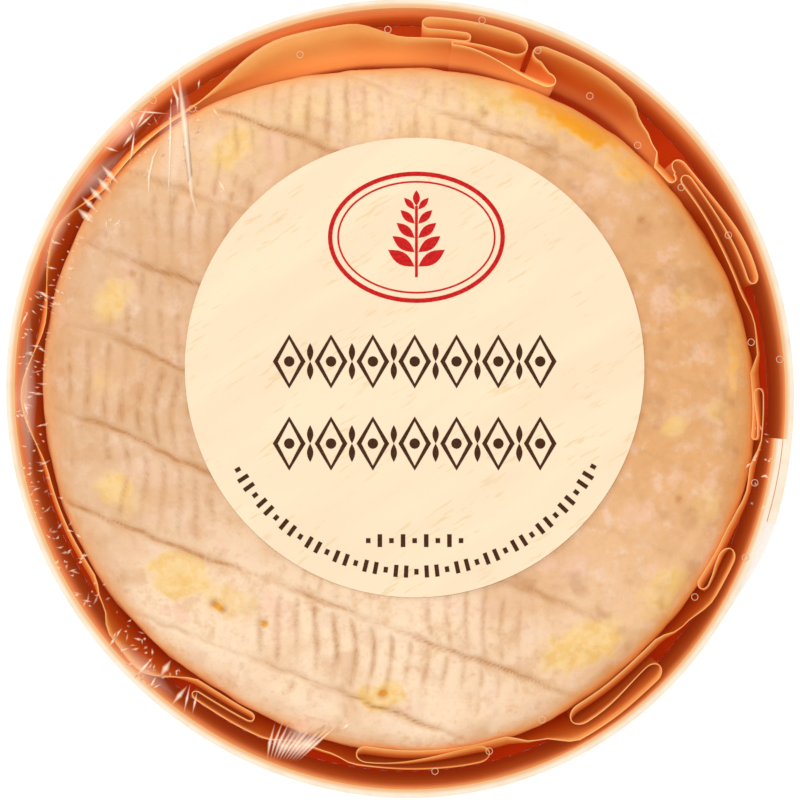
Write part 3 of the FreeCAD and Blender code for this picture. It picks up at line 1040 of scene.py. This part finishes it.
def build_emblem():
    """A double oval round a sprig of leaves."""
    mesh = bmesh.new()
    printed_ring(mesh, emblem_middle, emblem_half, 0.62)
    printed_ring(mesh, emblem_middle, (emblem_half[0] - 1.3, emblem_half[1] - 1.3), 0.26)
    foot = emblem_middle[1] - 5.6
    for share in range(5):
        rise = foot + 1.5 + 2.0 * share
        size = 4.4 - 0.55 * share
        lean = 32.0 + 4.0 * share
        for side, turn in ((0.25, lean), (-0.25, 180.0 - lean)):
            printed(mesh, leaf(size, 0.2 * size), (emblem_middle[0] + side, rise), turn)
    printed(mesh, bar(0.2, 5.0), (emblem_middle[0], foot + 5.0))
    printed(mesh, leaf(2.2, 0.5), (emblem_middle[0], foot + 10.0), 90.0)
    return mesh


def build_rows():
    """Bands of lozenges and dots across the label, and small marks round its lower edge."""
    mesh = bmesh.new()
    count = round(2.0 * row_half / row_pitch)
    start = label_middle[0] - row_half
    dot = [polar(0.75, 30.0 * step).xy for step in range(12)]
    for height in row_heights:
        for step in range(count):
            middle = (start + row_pitch * (step + 0.5), height)
            printed_ring(mesh, middle, (2.3, row_size / 2.0), 0.7, 4)
            printed(mesh, dot, middle)
        for step in range(1, count):
            for turn in (90.0, 270.0):
                printed(mesh, leaf(2.6, 0.45), (start + row_pitch * step, height), turn)
    height, half, marks = small_row
    for step in range(marks):
        across = label_middle[0] - half + 2.0 * half * step / (marks - 1)
        printed(mesh, bar(0.32, 0.9 if step % 2 else 0.35), (across, height))
    for step in range(arc_marks):
        angle = arc_angles[0] + (arc_angles[1] - arc_angles[0]) * step / (arc_marks - 1)
        spot = polar(arc_reach, angle)
        middle = (label_middle[0] + spot.x, label_middle[1] + spot.y)
        printed(mesh, bar(0.3, 0.85 if step % 3 else 0.4), middle, angle + 90.0)
    return mesh


dress(nodes["label"], label_paper())
print_piece("label_emblem", build_emblem(), ink("ink_red", tone(192, 22, 20)))
print_piece("label_bands", build_rows(), ink("ink_brown", tone(66, 34, 12)))


# ---- Stage ----
# A pale floor under the pack, soft light from above, and a camera looking straight down.

def pale_floor():
    material, tree, shader, _ = finish("pale_floor", 0.9, Base_Color=tone(250, 249, 247),
                                       Emission_Color=(1.0, 1.0, 1.0, 1.0))
    seen = node(tree, "LightPath")
    caught = maths(tree, "MAXIMUM", seen.outputs["Is Camera Ray"], seen.outputs["Is Glossy Ray"])
    caught = maths(tree, "MAXIMUM", caught, seen.outputs["Is Transmission Ray"])
    feed(tree, shader, "Emission Strength", maths(tree, "MULTIPLY", caught, 0.5))
    return material


ground = bmesh.new()
bmesh.ops.create_circle(ground, cap_ends=True, segments=64, radius=3.0)
floor_mesh = bpy.data.meshes.new("floor")
ground.to_mesh(floor_mesh)
ground.free()
floor_mesh.materials.append(pale_floor())
floor = bpy.data.objects.new("floor", floor_mesh)
scene.collection.objects.link(floor)

sky = bpy.data.worlds.new("soft_room")
scene.world = sky
sky.use_nodes = True
light = sky.node_tree.nodes["Background"].inputs
light["Color"].default_value = (1.0, 1.0, 1.0, 1.0)
light["Strength"].default_value = 0.42


def soft_box(name, place, size, power):
    lamp = bpy.data.lights.new(name, "AREA")
    lamp.shape = "SQUARE"
    lamp.size = size
    lamp.energy = power
    held = bpy.data.objects.new(name, lamp)
    held.location = place
    held.rotation_euler = (-Vector(place)).to_track_quat("-Z", "Y").to_euler()
    scene.collection.objects.link(held)


soft_box("overhead", (-0.04, 0.06, 1.0), 0.3, 5.0)
soft_box("key", (-0.45, 0.55, 0.9), 0.4, 1.3)

seen_width = 0.1121         # what the camera sees at the height of the film's top
camera_height = 0.57        # above that
camera_data = bpy.data.cameras.new("camera")
camera_data.lens = camera_data.sensor_width * camera_height / seen_width
camera = bpy.data.objects.new("camera", camera_data)
camera.location = (0.0, -0.0002, film_high.z + camera_height)
scene.collection.objects.link(camera)
scene.camera = camera
scene.view_settings.view_transform = "Standard"
